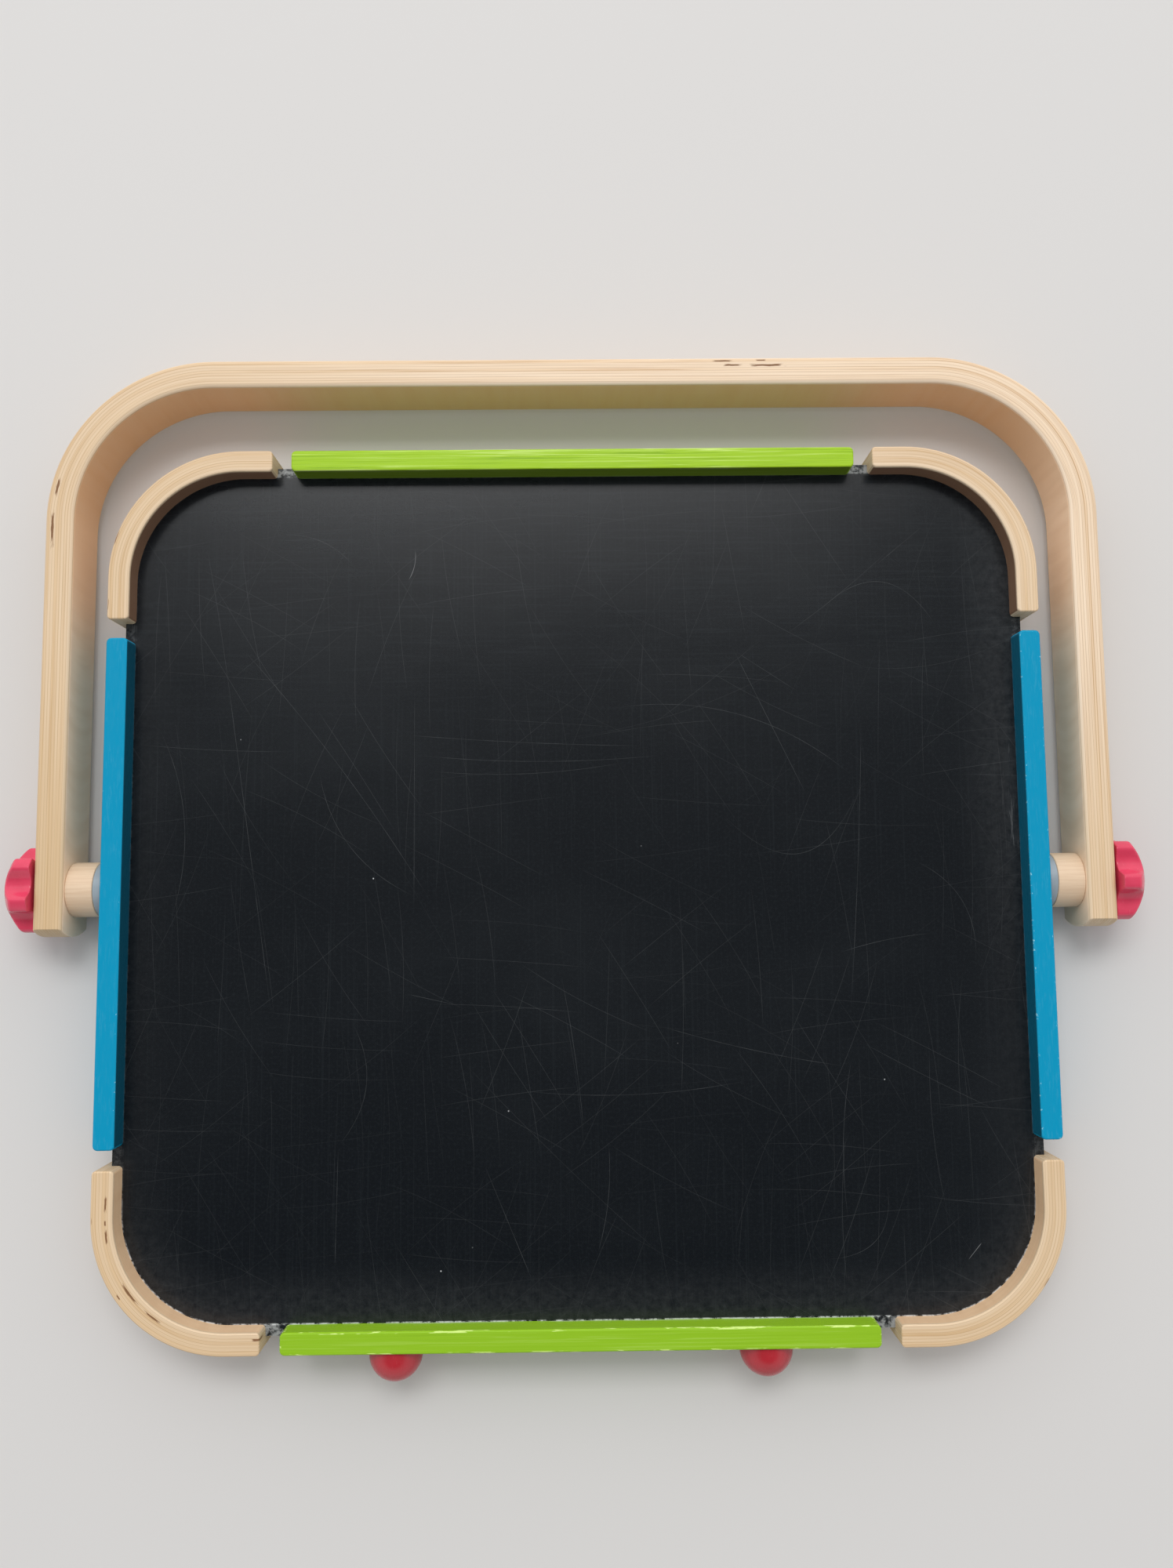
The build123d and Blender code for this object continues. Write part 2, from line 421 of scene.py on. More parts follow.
# Painted light: a paler veneer on the inner faces of the arms.
face_painted_light = opaque(0.95, 0.74, 0.54)
face_warm = opaque(0.70, 0.42, 0.22)
arm_start = 215 * mm
arm_full = 295 * mm
arm_shift = 25 * mm
# Painted shade: the edge darkens from here towards the left.
left_shade_start = 50 * mm
left_shade_full = -260 * mm
arm_end_start = 300 * mm
arm_end_full = 400 * mm
glue_start = 0.41
glue_full = 0.49
lacquer_specular = 0.25


def veneer_gap(grain, along, depth, half_length, half_width):
    """A mask for one short gap in a layer, with frayed ends, whose darkness is painted shade."""
    along_axis, depth_axis, height_axis = split(grain)
    fray = noise(stretch(grain, fray_scale))
    share_of_length = maths("DIVIDE", away_from(along_axis, along), half_length)
    share_of_width = maths("DIVIDE", away_from(depth_axis, depth), half_width)
    furthest = maths("MAXIMUM", share_of_length, share_of_width)
    frayed = product(furthest, fade(fray, 0.2, 0.8, 0.8, 1.6))
    return product(fade(frayed, 1.0, 0.55), fade(height_axis, 6 * mm, 9 * mm))


def plywood(name, thickness, half_depth, gaps, veneer_tones_and_light, browning, toning_and_shade, wear_and_shade):
    """Bent plywood under satin lacquer, with its layers on the edge and a plain veneer on the face."""
    material, tree, shader = start_material(name)
    grain = attribute(tree, "grain", "Vector")
    along_axis, depth_axis, height_axis = split(grain)
    from_edge = maths("SUBTRACT", half_depth, maths("ABSOLUTE", height_axis))
    from_core = away_from(depth_axis, thickness / 2)
    near_face = fade(from_core, thickness / 2 - veneer_skin, thickness / 2 - veneer_skin / 2)
    on_face = product(near_face, fade(from_edge, 0.8 * mm, 1.8 * mm))
    wander = noise(stretch(grain, wander_scale), detail=2.0)
    wandered = maths("MULTIPLY_ADD", wander, wander_depth, depth_axis)
    layers = maths("DIVIDE", wandered, ply_layer)
    tone = beside("TexWhiteNoise", layers)
    tone.noise_dimensions = "1D"
    feed(tone.inputs["W"], maths("FLOOR", layers))
    glue = fade(away_from(maths("FRACT", layers), 0.5), glue_start, glue_full)
    fibres = noise(stretch(grain, fibre_scale), detail=4.0, roughness=0.6)
    figure = noise(stretch(grain, figure_scale), detail=3.0)
    ripple = noise(stretch(grain, ripple_scale), detail=2.0)
    edge = mix(fade(fibres, 0.34, 0.58), honey, straw)
    edge = mix(product(tone.outputs["Value"], 0.55), edge, cream)
    edge = mix(fade(figure, 0.45, 0.75, 0.0, 0.5), edge, cream)
    last_layer = fade(depth_axis, thickness - 1.8 * mm, thickness - 0.9 * mm, 0.0, 0.7)
    edge = mix(last_layer, edge, cream)
    edge = mix(browning, edge, amber)
    # Painted shade: the edge is darker on the left.
    left_painted_shade = fade(along_axis, left_shade_start, left_shade_full, 0.0, toning_and_shade)
    edge = mix(left_painted_shade, edge, amber)
    arm_end = fade(maths("ABSOLUTE", along_axis), arm_end_start, arm_end_full, 0.0, toning_and_shade)
    edge = mix(arm_end, edge, amber)
    edge = mix(product(glue, fade(figure, 0.3, 0.6, 0.3, 0.65)), edge, glue_brown)
    face = mix(fade(ripple, 0.35, 0.75, 0.0, 0.4), face_light, face_dark)
    face = mix(fade(fibres, 0.35, 0.65, 0.3, 0.0), face, face_dark)
    inner_side = fade(depth_axis, thickness / 2, thickness)
    # Painted light: the inner face is paler along the arms.
    arm_painted_light = fade(away_from(along_axis, -arm_shift), arm_start, arm_full)
    inner_face = mix(arm_painted_light, face_warm, face_painted_light)
    ripple_share = fade(ripple, 0.3, 0.7, veneer_tones_and_light, 0.6 * veneer_tones_and_light)
    face = mix(product(inner_side, ripple_share), face, inner_face)
    # Painted shade: the inner faces of the upper corners are darkened.
    upper_painted_shade = fade(along_axis, lower_half_shift / 2, 0.4 * lower_half_shift, 0.0, wear_and_shade)
    face = mix(product(inner_side, upper_painted_shade), face, painted_shade_brown)
    colour = mix(on_face, edge, face)
    knocks = noise(stretch(grain, knock_scale), detail=3.0, roughness=0.6)
    rim = product(attribute(tree, "rounded_edge", "Fac"), fade(depth_axis, 2 * mm, mm))
    knocked = product(rim, fade(knocks, 0.62, 0.68), wear_and_shade)
    colour = mix(knocked, colour, dirt_and_void_shade)
    # Painted shade: each veneer gap is dark as the shade inside it.
    for gap in gaps:
        colour = mix(veneer_gap(grain, *gap), colour, dirt_and_void_shade)
    feed(shader.inputs["Base Color"], colour)
    feed(shader.inputs["Roughness"], fade(fibres, 0.3, 0.7, 0.38, 0.52))
    shader.inputs["Specular IOR Level"].default_value = lacquer_specular
    height = maths("MULTIPLY_ADD", glue, -0.4, fibres)
    feed(shader.inputs["Normal"], bump(height, 0.2, 0.1 * mm))
    return material


print("plywood layers of", round(ply_layer / mm, 2), "mm")

# %% [markdown]
# The stand's edge is pale and the frame corners are browner and more worn, with painted shade on the inner
# faces of the upper corners. Each has gaps of its own. A gap is given by its place along the strip, its depth
# under the outer face, half its length and half its width.

# %% Plywood of the stand and the corners
stand_low, stand_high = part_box("stand")
stand_thickness = stand_high.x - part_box("spacer_right")[1].x
stand_half_depth = (stand_high.z - stand_low.z) / 2
frame_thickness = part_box("top_bar")[1].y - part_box("top_bar")[0].y
frame_half_depth = (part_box("top_bar")[1].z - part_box("top_bar")[0].z) / 2
stand_gaps = [
    (-249.7 * mm, 3.3 * mm, 5.0 * mm, 0.75 * mm),
    (-267.6 * mm, 3.2 * mm, 8.0 * mm, 0.75 * mm),
    (65.0 * mm, 1.7 * mm, 6.0 * mm, 0.5 * mm),
    (81.8 * mm, 1.5 * mm, 3.0 * mm, 0.5 * mm),
    (69.3 * mm, 3.6 * mm, 5.0 * mm, 0.6 * mm),
    (84.5 * mm, 3.7 * mm, 9.0 * mm, 0.7 * mm),
]
corner_gaps = [
    (lower_half_shift - along * mm, depth * mm, half_length * mm, half_width * mm)
    for along, depth, half_length, half_width in (
        (129.5, 6.4, 3.5, 0.6),
        (178.0, 6.2, 5.5, 0.5),
        (192.6, 6.1, 6.6, 0.7),
        (194.6, 2.0, 1.6, 0.4),
        (220.6, 6.1, 3.8, 0.6),
        (226.8, 6.1, 1.6, 0.5),
        (234.6, 6.1, 3.5, 0.6),
    )
]
stand_ply = plywood(
    "bent_stand_plywood",
    stand_thickness,
    stand_half_depth,
    stand_gaps,
    veneer_tones_and_light=0.9,
    browning=0.06,
    toning_and_shade=0.4,
    wear_and_shade=0.0,
)
corner_ply = plywood(
    "bent_corner_plywood",
    frame_thickness,
    frame_half_depth,
    corner_gaps,
    veneer_tones_and_light=0.0,
    browning=0.36,
    toning_and_shade=0.22,
    wear_and_shade=0.8,
)
print("plywood:", stand_ply.name, "and", corner_ply.name)

# %% [markdown]
# The stand is one band of plywood bent into a U, both the carrying handle and the support. Its long edges are
# rounded and its arm ends are then sawn to a shallow arc. So the end face is a small grid with rounded
# corners, bowed to that arc, and its outline is carried up the right arm, round two quarter bends and down
# the left arm.

# %% Stand
stand_bend_radius = 70 * mm
arm_end_radius = 28 * mm
ply_edge_round = 1.8 * mm
sawn_edge_round = 0.35 * mm
end_columns = 4
end_rows = 12
stand_half_width = stand_high.x
stand_ring = (stand_half_width, stand_high.y - pivot.y, stand_bend_radius)
bend_x = stand_half_width - stand_bend_radius
bend_y = stand_high.y - stand_bend_radius


def saw_to_arc(verts):
    """Move vertices onto the arc of an arm's end."""
    arc_height = stand_low.y + arm_end_radius
    for vert in verts:
        vert.co.y = arc_height - sqrt(arm_end_radius**2 - (vert.co.z - pivot.z) ** 2)


bm = bmesh.new()
bmesh.ops.create_grid(bm, x_segments=end_columns, y_segments=end_rows, size=0.5)
bmesh.ops.scale(bm, verts=bm.verts, vec=(stand_thickness, 2 * stand_half_depth, 1.0))
bmesh.ops.bevel(
    bm,
    geom=[vert for vert in bm.verts if len(vert.link_edges) == 2],
    offset=ply_edge_round,
    segments=rounding_steps,
    profile=0.5,
    affect="VERTICES",
    material=-1,
)
bmesh.ops.rotate(bm, verts=bm.verts, cent=(0, 0, 0), matrix=Matrix.Rotation(quarter, 3, "X"))
bmesh.ops.translate(bm, verts=bm.verts, vec=(stand_half_width - stand_thickness / 2, pivot.y, pivot.z))
saw_to_arc(bm.verts)
end_faces = bm.faces[:]
loop = outline(bm)
saw_to_arc(far_end(bm, end_faces, pivot, 2 * quarter))
loop = run(bm, loop, 1, bend_y)
loop = bend(bm, loop, (bend_x, bend_y, 0), quarter)
loop = run(bm, loop, 0, -bend_x)
loop = bend(bm, loop, (-bend_x, bend_y, 0), quarter)
loop = run(bm, loop, 1, pivot.y)
saw_to_arc({vert for edge in loop for vert in edge.verts})
close_shell(bm)
round_off(bm, sharp_edges(bm), sawn_edge_round)
mark_grain(bm, stand_ring)
dress(bm, "stand", stand_ply)

# %% [markdown]
# The frame strips hold the board in a groove, so their end face is a C. It is a grid of two by three cells
# with one cell taken out. The four corners are one bent shape, mirrored about the pivot. Their upright edges
# at the ends are eased more than the long edges, so the bevel is done in two passes.

# %% Frame corners
frame_corner_radius = 55 * mm
groove_depth = 4.6 * mm
corner_end_round = 1.6 * mm
corner_edge_round = 0.7 * mm
touching = 0.01 * mm
groove_half_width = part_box("chalkboard_panel")[1].z - pivot.z
frame_half_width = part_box("right_bar")[1].x
frame_half_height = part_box("top_bar")[1].y - pivot.y
frame_ring = (frame_half_width, frame_half_height, frame_corner_radius)


def grooved_end(bm):
    """The C-shaped end face of a frame strip, upright in X and Z, with its outer face on X zero."""
    bmesh.ops.create_grid(bm, x_segments=2, y_segments=3, size=0.5)
    columns = [-frame_thickness, groove_depth - frame_thickness, 0.0]
    rows = [-frame_half_depth, -groove_half_width, groove_half_width, frame_half_depth]
    for vert in bm.verts:
        column = round((vert.co.x + 0.5) * 2)
        row = round((vert.co.y + 0.5) * 3)
        vert.co = (columns[column], 0.0, rows[row])
    cells = [(face, face.calc_center_median()) for face in bm.faces]
    notch = [face for face, centre in cells if centre.x < columns[1] and abs(centre.z) < groove_half_width]
    bmesh.ops.delete(bm, geom=notch, context="FACES")


def end_edges(bm):
    """The upright edges at the ends of a frame strip, on its outer and inner faces."""
    picked = []
    for edge in sharp_edges(bm):
        first, last = [vert.co for vert in edge.verts]
        depth = place_on_ring(first, *frame_ring)[1]
        on_face = min(abs(depth), abs(depth - frame_thickness)) < touching
        if (first - last).xy.length < touching and on_face:
            picked.append(edge)
    return picked


def rim_edges(bm):
    """The sharp edges round the front and back of a frame strip."""
    limit = frame_half_depth - touching
    return [
        edge for edge in sharp_edges(bm) if min(abs(vert.co.z - pivot.z) for vert in edge.verts) > limit
    ]


def ease_strip(bm, end_round, edge_round):
    """Close a frame strip and round its edges."""
    close_shell(bm)
    round_off(bm, end_edges(bm), end_round)
    round_off(bm, rim_edges(bm), edge_round)
    mark_grain(bm, frame_ring)


def corner(node, flip):
    """One bent corner of the frame, made at the top right and flipped about the pivot."""
    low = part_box("corner_top_right")[0]
    centre = Vector((frame_half_width, pivot.y + frame_half_height, 0))
    centre -= Vector((frame_corner_radius, frame_corner_radius, 0))
    bm = bmesh.new()
    grooved_end(bm)
    bmesh.ops.translate(bm, verts=bm.verts, vec=(frame_half_width, low.y, pivot.z))
    end_faces = bm.faces[:]
    loop = outline(bm)
    for vert in far_end(bm, end_faces, centre, quarter):
        vert.co.x = low.x
    loop = run(bm, loop, 1, centre.y)
    loop = bend(bm, loop, centre, quarter)
    run(bm, loop, 0, low.x)
    bmesh.ops.scale(bm, verts=bm.verts, vec=flip, space=Matrix.Translation(-pivot))
    ease_strip(bm, corner_end_round, corner_edge_round)
    return dress(bm, node, corner_ply)


corner("corner_top_right", (1, 1, 1))
corner("corner_top_left", (-1, 1, 1))
corner("corner_bottom_right", (1, -1, 1))
corner("corner_bottom_left", (-1, -1, 1))

# %% [markdown]
# The bars are brushed with a thin satin paint. On the upper edge of the top bar the grain has risen under it,
# as fine dark pits and ridges along the bar, with painted glints on the ridges, while the blue bars are smooth.
# Knocks have chipped the edges here and there, most of all on the bottom bar, where the many chips also paint a
# pale highlight along its edge. The bevel marked its faces in the mesh, so chips can be kept to the edges. The
# inner walls are painted darker as painted shade, and chalk dust clings to them just above the board.

# %% Paint finish
streak_scale = (18.0, 1300.0, 900.0)
patch_scale = (9.0, 120.0, 90.0)
chip_scale = (70.0, 500.0, 500.0)
smudge_scale = (26.0, 1100.0, 600.0)
raised_start = frame_half_depth - 3 * mm
raised_full = frame_half_depth - mm
raised_least = 0.12
# Share of painted glint on the raised grain's ridges.
ridge_glint_share = 0.8
# Share of pale on chips, which on the bottom bar also paint a highlight along the edge.
chip_and_highlight_share = 0.7
dust_height = 1.6 * mm
paint_specular = 0.15
smooth_bump = 0.06
grain_height = 0.18 * mm
chalk_white = opaque(0.66, 0.68, 0.69)
# Painted shade: the near-black of the bars' inner walls.
painted_shade_black = opaque(0.006, 0.008, 0.010)


def paint(name, base, pale, pit, raised_grain, chips_and_highlight, inner_wall_shade, dusting):
    """Satin paint with raised grain, chips, painted glints and highlights, painted shade and dust inside."""
    material, tree, shader = start_material(name)
    grain = attribute(tree, "grain", "Vector")
    depth_axis, height_axis = split(grain)[1:]
    streaks = noise(stretch(grain, streak_scale), detail=4.0, roughness=0.6)
    patches = fade(noise(stretch(grain, patch_scale)), 0.38, 0.62, 0.25, 1.0)
    chipping = noise(stretch(grain, chip_scale), detail=3.0, roughness=0.6)
    smudges = noise(stretch(grain, smudge_scale), detail=3.0, roughness=0.65)
    worn_top = fade(height_axis, raised_start, raised_full, raised_least, 1.0)
    pits = product(patches, worn_top, fade(streaks, 0.45, 0.34, 0.0, raised_grain))
    # Painted glints: the ridges are turned pale.
    ridge_glints = product(patches, worn_top, fade(streaks, 0.53, 0.62, 0.0, raised_grain))
    colour = mix(pits, base, pit)
    colour = mix(product(ridge_glints, ridge_glint_share), colour, pale)
    edge = attribute(tree, "rounded_edge", "Fac")
    # Chips, and on the bottom bar a painted highlight along the edge.
    chipped_and_highlit = product(edge, fade(chipping, 0.70 - chips_and_highlight, 0.74 - chips_and_highlight))
    colour = mix(product(chipped_and_highlit, chip_and_highlight_share), colour, pale)
    inside = fade(depth_axis, frame_thickness - 0.3 * mm, frame_thickness - 0.05 * mm)
    # Painted shade: the inner wall is darkened towards near-black.
    colour = mix(product(inside, inner_wall_shade), colour, painted_shade_black)
    above_board = fade(height_axis, groove_half_width + dust_height, groove_half_width, 0.0, dusting)
    dust = product(above_board, inside, fade(smudges, 0.42, 0.66))
    colour = mix(dust, colour, chalk_white)
    feed(shader.inputs["Base Color"], colour)
    feed(shader.inputs["Roughness"], fade(smudges, 0.35, 0.7, 0.28, 0.44))
    shader.inputs["Specular IOR Level"].default_value = paint_specular
    height = product(streaks, worn_top)
    feed(shader.inputs["Normal"], bump(height, smooth_bump + raised_grain, grain_height))
    return material


lime_green = opaque(0.325, 0.54, 0.020)
worn_green = opaque(0.255, 0.475, 0.017)
pale_green = opaque(0.70, 0.88, 0.28)
deep_green = opaque(0.10, 0.235, 0.006)
sea_blue = opaque(0.0005, 0.267, 0.460)
pale_blue = opaque(0.30, 0.62, 0.74)
deep_blue = opaque(0.002, 0.225, 0.44)
# Pale colours for chips, painted glints and painted highlight; deep colours for pits.
green_wear_and_highlight = (pale_green, deep_green)
blue_wear_and_highlight = (pale_blue, deep_blue)
bar_paint = {
    "top_bar": paint(
        "green_raised_grain_and_glints", lime_green, *green_wear_and_highlight, raised_grain=0.95, chips_and_highlight=0.02, inner_wall_shade=0.65, dusting=0.1
    ),
    # Many chips on the bottom bar also paint a pale highlight along its edge.
    "bottom_bar": paint(
        "green_ledge_wear_and_highlight", worn_green, *green_wear_and_highlight, raised_grain=0.14, chips_and_highlight=0.15, inner_wall_shade=0.0, dusting=0.6
    ),
    "left_bar": paint(
        "blue_smooth", sea_blue, *blue_wear_and_highlight, raised_grain=0.05, chips_and_highlight=0.03, inner_wall_shade=0.75, dusting=0.05
    ),
    "right_bar": paint(
        "blue_chipped", sea_blue, *blue_wear_and_highlight, raised_grain=0.05, chips_and_highlight=0.08, inner_wall_shade=0.65, dusting=0.08
    ),
}
print("paints:", [material.name for material in bar_paint.values()])

# %% [markdown]
# The four bars are the same sweep without a bend. Each is made upright at the right of the board and turned
# about the pivot in quarter turns to its own side.

# %% Frame bars
bar_end_round = 2.0 * mm
bar_edge_round = 0.8 * mm


def bar(node, reach, length, turns):
    """One straight bar of the frame, its outer face at a reach from the pivot."""
    bm = bmesh.new()
    grooved_end(bm)
    bmesh.ops.translate(bm, verts=bm.verts, vec=(reach, pivot.y - length / 2, pivot.z))
    end_faces = bm.faces[:]
    loop = outline(bm)
    for vert in far_end(bm, end_faces, pivot, 0.0):
        vert.co.y = pivot.y + length / 2
    run(bm, loop, 1, pivot.y + length / 2)
    bmesh.ops.rotate(bm, verts=bm.verts, cent=pivot, matrix=Matrix.Rotation(turns * quarter, 3, "Z"))
    ease_strip(bm, bar_end_round, bar_edge_round)
    return dress(bm, node, bar_paint[node])


side_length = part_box("right_bar")[1].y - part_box("right_bar")[0].y
cross_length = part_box("top_bar")[1].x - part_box("top_bar")[0].x
bar("right_bar", frame_half_width, side_length, 0)
bar("top_bar", frame_half_height, cross_length, 1)
bar("left_bar", frame_half_width, side_length, 2)
bar("bottom_bar", frame_half_height, cross_length, 3)

# %% [markdown]
# The knobs and feet are moulded in glossy red plastic and the friction washers in dull grey. Moulded plastic
# is even in colour, with a very faint cloudiness, and its gloss is broken here and there by fine scratches.

# %% Plastic finish
cloud_scale = 90.0
scuff_scale = (900.0, 200.0, 900.0)
scuff_turn = 0.6


def moulded_plastic(name, base, shade, smooth, dull):
    """Plastic with a faint cloudiness and scuffed gloss."""
    material, tree, shader = start_material(name)
    place = object_place(tree)
    cloud = noise(place, scale=cloud_scale, detail=3.0)
    scuffs = noise(stretch(place, scuff_scale, scuff_turn), detail=3.0, roughness=0.7)
    feed(shader.inputs["Base Color"], mix(fade(cloud, 0.35, 0.7), base, shade))
    feed(shader.inputs["Roughness"], fade(scuffs, 0.45, 0.75, smooth, dull))
    feed(shader.inputs["Normal"], bump(cloud, 0.05, 0.1 * mm))
    return material


knob_base = opaque(0.67, 0.052, 0.111)
knob_shade = opaque(0.61, 0.043, 0.096)
foot_base = opaque(0.43, 0.0215, 0.033)
foot_shade = opaque(0.38, 0.0165, 0.0265)
washer_base = opaque(0.29, 0.34, 0.38)
washer_shade = opaque(0.24, 0.29, 0.33)
knob_red = moulded_plastic("knob_red_plastic", knob_base, knob_shade, smooth=0.16, dull=0.30)
foot_red = moulded_plastic("foot_red_plastic", foot_base, foot_shade, smooth=0.18, dull=0.32)
washer_grey = moulded_plastic("washer_grey_plastic", washer_base, washer_shade, smooth=0.45, dull=0.6)
print("plastics:", knob_red.name, foot_red.name, washer_grey.name)

# %% [markdown]
# A star knob is a round blank with a scallop between each two of its six lobes, and a high domed top. The
# scallops are arcs that meet the lobes' faces, so their radius follows from the width that a lobe keeps.

# %% Outline of a star knob
knob_radius = 18 * mm
knob_lobes = 6
lobe_face_width = 7.4 * mm
scallop_floor_radius = 12.8 * mm
knob_side_height = 7.0 * mm
knob_dome_height = 7.0 * mm

lobe_pitch = 2 * pi / knob_lobes
scallop_edge = lobe_pitch / 2 - lobe_face_width / 2 / knob_radius
scallop_centre = (knob_radius**2 - scallop_floor_radius**2) / 2
scallop_centre /= knob_radius * cos(scallop_edge) - scallop_floor_radius
scallop_radius = scallop_centre - scallop_floor_radius
head_height = knob_side_height + knob_dome_height
dome_radius = (knob_radius**2 + knob_dome_height**2) / (2 * knob_dome_height)


def lobed_radius(angle):
    """The radius of the knob's outline at an angle from the middle of a lobe."""
    from_scallop = angle % lobe_pitch - lobe_pitch / 2
    inside = scallop_radius**2 - (scallop_centre * sin(from_scallop)) ** 2
    if abs(from_scallop) > scallop_edge or inside < 0:
        return knob_radius
    return scallop_centre * cos(from_scallop) - sqrt(inside)


def dome(radius):
    """The height of the domed top at a radius."""
    return head_height - dome_radius + sqrt(dome_radius**2 - radius**2)


print("knob with", knob_lobes, "lobes and scallops of", round(scallop_radius / mm, 2), "mm")

# %% [markdown]
# To make a knob, a circle is drawn in to that outline and smoothed a little, which rounds the lobes' edges as
# the mould does. The same loop then makes every level: the wall, the shrinking loops of the dome, the flat
# base and the bore. Last, the knob is laid along the pivot axis, and the left one is turned half round.

# %% Star knobs
outline_steps = 180
outline_smoothing = 3
dome_loops = (1.0, 0.86, 0.74, 0.61, 0.47, 0.32, 0.16)
knob_rim_round = 0.8 * mm
knob_base_round = 0.5 * mm
bore_radius = 3.02 * mm
bore_depth = 9.0 * mm
right_knob_turn = radians(4)
left_knob_turn = radians(-21)


def next_loop(bm, loop, shrink):
    """Extrude a loop of edges and draw its copy in by a share, then return the new loop and its vertices."""
    made = bmesh.ops.extrude_edge_only(bm, edges=loop)["geom"]
    verts = {item for item in made if isinstance(item, bmesh.types.BMVert)}
    bmesh.ops.scale(bm, verts=list(verts), vec=(shrink, shrink, 1.0))
    return [edge for edge in bm.edges if set(edge.verts) <= verts], verts


def round_loop(bm, loop, radius, height):
    """Extrude a loop of edges to a circle at a height."""
    loop, verts = next_loop(bm, loop, 1.0)
    for vert in verts:
        vert.co.xy = vert.co.xy.normalized() * radius
        vert.co.z = height
    return loop, verts


def outline_edges(bm, lowest, highest):
    """The sharp edges round the knob's outline between two heights."""
    limit = scallop_floor_radius - mm
    return [
        edge
        for edge in sharp_edges(bm)
        if min(vert.co.xy.length for vert in edge.verts) > limit
        and all(lowest < vert.co.z < highest for vert in edge.verts)
        and abs(edge.verts[0].co.z - edge.verts[1].co.z) < mm
    ]


def knob(node, turn, half_turn):
    """One star knob, made upright and then laid along the pivot axis."""
    bm = bmesh.new()
    bmesh.ops.create_circle(bm, segments=outline_steps, radius=1.0)
    for vert in bm.verts:
        angle = atan2(vert.co.y, vert.co.x)
        vert.co.xy = vert.co.xy.normalized() * lobed_radius(angle)
    for smoothing in range(outline_smoothing):
        bmesh.ops.smooth_vert(bm, verts=bm.verts, factor=0.5, use_axis_x=True, use_axis_y=True)
    base_loop = bm.edges[:]
    loop = base_loop
    size = 1.0
    for share in dome_loops:
        loop, verts = next_loop(bm, loop, share / size)
        size = share
        for vert in verts:
            vert.co.z = dome(vert.co.xy.length)
    bmesh.ops.pointmerge(bm, verts=list(verts), merge_co=(0, 0, head_height))
    loop, verts = round_loop(bm, base_loop, bore_radius, 0.0)
    loop, verts = round_loop(bm, loop, bore_radius, bore_depth)
    bmesh.ops.pointmerge(bm, verts=list(verts), merge_co=(0, 0, bore_depth))
    close_shell(bm)
    round_off(bm, outline_edges(bm, knob_side_height - mm, head_height), knob_rim_round)
    round_off(bm, outline_edges(bm, -mm, mm), knob_base_round)
    laid = Matrix(((0, 0, 1, 0), (0, -1, 0, 0), (1, 0, 0, 0), (0, 0, 0, 1)))
    head_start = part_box("knob_right")[0].x
    move = Matrix.Translation((head_start, 0, 0)) @ laid @ Matrix.Rotation(turn, 4, "Z")
    if half_turn:
        move = Matrix.Rotation(pi, 4, "Z") @ move
    bmesh.ops.transform(bm, verts=bm.verts, matrix=Matrix.Translation(pivot) @ move)
    return dress(bm, node, knob_red)


knob("knob_right", right_knob_turn, False)
knob("knob_left", left_knob_turn, True)

# %% [markdown]
# A foot is half a sphere on a short wall. The sphere is cut with a plane, its open rim is run up to the bar
# and closed, and the rim of the seat is eased.

# %% Feet
foot_radius = 11 * mm
foot_base_round = 0.5 * mm
foot_steps = 48


def foot(node):
    """One domed foot under the bottom bar."""
    low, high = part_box(node)
    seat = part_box("bottom_bar")[0].y
    bm = bmesh.new()
    bmesh.ops.create_uvsphere(bm, u_segments=foot_steps, v_segments=foot_steps // 2, radius=foot_radius)
    bmesh.ops.rotate(bm, verts=bm.verts, cent=(0, 0, 0), matrix=Matrix.Rotation(quarter, 3, "X"))
    whole = bm.verts[:] + bm.edges[:] + bm.faces[:]
    bmesh.ops.bisect_plane(bm, geom=whole, plane_co=(0, 0, 0), plane_no=(0, 1, 0), clear_outer=True)
    bmesh.ops.translate(bm, verts=bm.verts, vec=((low.x + high.x) / 2, low.y + foot_radius, pivot.z))
    rim = run(bm, outline(bm), 1, seat)
    bmesh.ops.holes_fill(bm, edges=rim)
    close_shell(bm)
    round_off(bm, sharp_edges(bm), foot_base_round)
    return dress(bm, node, foot_red)


foot("foot_left")
foot("foot_right")

# %% [markdown]
# The spacers are turned from pale wood and the friction washers are cut from grey plastic. Both are rings
# about the pivot axis: a rectangle spun once round, with its two outer rims eased. The spacer's grain runs
# along its axis, so it shows as fine lines from arm to board.

# %% Spacers and washers
ring_radius = 11.5 * mm
ring_hole_radius = 3.3 * mm
ring_steps = 72
turned_fibre_scale = (60.0, 1500.0, 1500.0)
turned_figure_scale = (8.0, 200.0, 200.0)
turned_light = opaque(0.66, 0.48, 0.325)
turned_pale = opaque(0.72, 0.55, 0.39)
turned_warm = opaque(0.62, 0.425, 0.275)
spacer_round = 0.5 * mm
washer_round = 0.4 * mm


def turned_wood(name):
    """Pale close-grained wood with its grain along X."""
    material, tree, shader = start_material(name)
    place = object_place(tree)
    fibres = noise(stretch(place, turned_fibre_scale), detail=4.0, roughness=0.6)
    figure = noise(stretch(place, turned_figure_scale), detail=2.0)
    colour = mix(fade(fibres, 0.3, 0.7), turned_light, turned_pale)
    colour = mix(fade(figure, 0.4, 0.75, 0.0, 0.3), colour, turned_warm)
    feed(shader.inputs["Base Color"], colour)
    feed(shader.inputs["Roughness"], fade(fibres, 0.3, 0.7, 0.45, 0.6))
    feed(shader.inputs["Normal"], bump(fibres, 0.2, 0.1 * mm))
    return material


